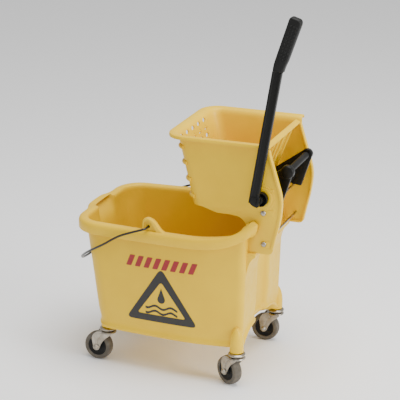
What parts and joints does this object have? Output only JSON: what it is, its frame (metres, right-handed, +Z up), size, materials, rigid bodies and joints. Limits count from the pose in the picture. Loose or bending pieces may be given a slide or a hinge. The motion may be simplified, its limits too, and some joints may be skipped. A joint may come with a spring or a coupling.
{
  "type": "mop bucket with wringer",
  "caption": "Wheeled rectangular mop bucket with a pouring spout, wire bail and a lift-off side-press wringer worked by a long hand lever.",
  "frame": {"origin": "on the floor, under the middle of the whole object's box at rest", "axes": "+X from the pouring spout to the wringer end, -Y the front with the lever, +Z up"},
  "size_m": [0.6343, 0.4072, 0.9746],
  "materials": {
    "yellow_plastic": "satin moulded polypropylene, safety yellow",
    "black_plastic": "moulded black nylon with a slight sheen",
    "black_steel": "black powder-coated steel",
    "zinc_steel": "zinc-plated pressed steel",
    "black_wire": "black painted steel wire",
    "grey_rubber": "grey non-marking rubber",
    "red_print": "red screen print on the bucket's front",
    "black_print": "black screen print on the bucket's front"
  },
  "bodies": {
    "bucket": {"bucket_shell": "yellow_plastic", "caster_stem_front_left": "zinc_steel", "caster_stem_rear_left": "zinc_steel", "caster_stem_front_right": "zinc_steel", "caster_stem_rear_right": "zinc_steel"},
    "bail": {"bail_wire": "black_wire"},
    "wringer": {"side_frame_front": "yellow_plastic", "side_frame_rear": "yellow_plastic", "drain_basket": "yellow_plastic", "tie_rod_upper": "zinc_steel", "tie_rod_lower": "zinc_steel", "hinge_rod": "zinc_steel", "pivot_bush_front": "black_plastic", "pivot_bush_rear": "black_plastic"},
    "press": {"press_plate": "yellow_plastic"},
    "lever": {"lever_arm": "black_steel", "lever_grip": "black_plastic", "crank_shaft": "black_steel", "crank_cam_front": "black_steel", "crank_cam_rear": "black_steel", "crank_pin": "zinc_steel", "shaft_collar": "black_steel", "press_roller": "black_plastic"},
    "swivel_front_left": {"caster_fork_front_left": "zinc_steel", "caster_axle_front_left": "zinc_steel"},
    "wheel_front_left": {"wheel_hub_front_left": "black_plastic", "tyre_front_left": "grey_rubber"},
    "swivel_rear_left": {"caster_fork_rear_left": "zinc_steel", "caster_axle_rear_left": "zinc_steel"},
    "wheel_rear_left": {"wheel_hub_rear_left": "black_plastic", "tyre_rear_left": "grey_rubber"},
    "swivel_front_right": {"caster_fork_front_right": "zinc_steel", "caster_axle_front_right": "zinc_steel"},
    "wheel_front_right": {"wheel_hub_front_right": "black_plastic", "tyre_front_right": "grey_rubber"},
    "swivel_rear_right": {"caster_fork_rear_right": "zinc_steel", "caster_axle_rear_right": "zinc_steel"},
    "wheel_rear_right": {"wheel_hub_rear_right": "black_plastic", "tyre_rear_right": "grey_rubber"}
  },
  "joints": [
    {"name": "bail_swing", "type": "hinge", "parent": "bucket", "child": "bail", "pos_m": [-0.0713, 0, 0.412], "axis": [0, 1, 0], "range_deg": [0, 120]},
    {"name": "wringer_lift", "type": "slide", "parent": "bucket", "child": "wringer", "axis": [0, 0, 1], "range_m": [0, 0.3]},
    {"name": "lever_press", "type": "hinge", "parent": "wringer", "child": "lever", "pos_m": [0.2127, 0, 0.508], "axis": [0, -1, 0], "range_deg": [0, 85]},
    {"name": "press_swing", "type": "hinge", "parent": "wringer", "child": "press", "pos_m": [0.1487, 0, 0.463], "axis": [0, -1, 0], "range_deg": [0, 36]},
    {"name": "swivel_turn_front_left", "type": "hinge", "parent": "bucket", "child": "swivel_front_left", "pos_m": [-0.2133, -0.12, 0.09], "axis": [0, 0, 1], "continuous": true},
    {"name": "wheel_spin_front_left", "type": "hinge", "parent": "swivel_front_left", "child": "wheel_front_left", "pos_m": [-0.24128, -0.11902, 0.038], "axis": [0.0349, 0.9994, 0], "continuous": true},
    {"name": "swivel_turn_rear_left", "type": "hinge", "parent": "bucket", "child": "swivel_rear_left", "pos_m": [-0.2133, 0.12, 0.09], "axis": [0, 0, 1], "continuous": true},
    {"name": "wheel_spin_rear_left", "type": "hinge", "parent": "swivel_rear_left", "child": "wheel_rear_left", "pos_m": [-0.23961, 0.11042, 0.038], "axis": [-0.342, 0.9397, 0], "continuous": true},
    {"name": "swivel_turn_front_right", "type": "hinge", "parent": "bucket", "child": "swivel_front_right", "pos_m": [0.1587, -0.155, 0.09], "axis": [0, 0, 1], "continuous": true},
    {"name": "wheel_spin_front_right", "type": "hinge", "parent": "swivel_front_right", "child": "wheel_front_right", "pos_m": [0.13445, -0.141, 0.038], "axis": [0.5, 0.866, 0], "continuous": true},
    {"name": "swivel_turn_rear_right", "type": "hinge", "parent": "bucket", "child": "swivel_rear_right", "pos_m": [0.1587, 0.155, 0.09], "axis": [0, 0, 1], "continuous": true},
    {"name": "wheel_spin_rear_right", "type": "hinge", "parent": "swivel_rear_right", "child": "wheel_rear_right", "pos_m": [0.1307, 0.155, 0.038], "axis": [0, 1, 0], "continuous": true}
  ],
  "couplings": [
    {"joint": "press_swing", "follows": "lever_press", "ratio": 0.419}
  ]
}
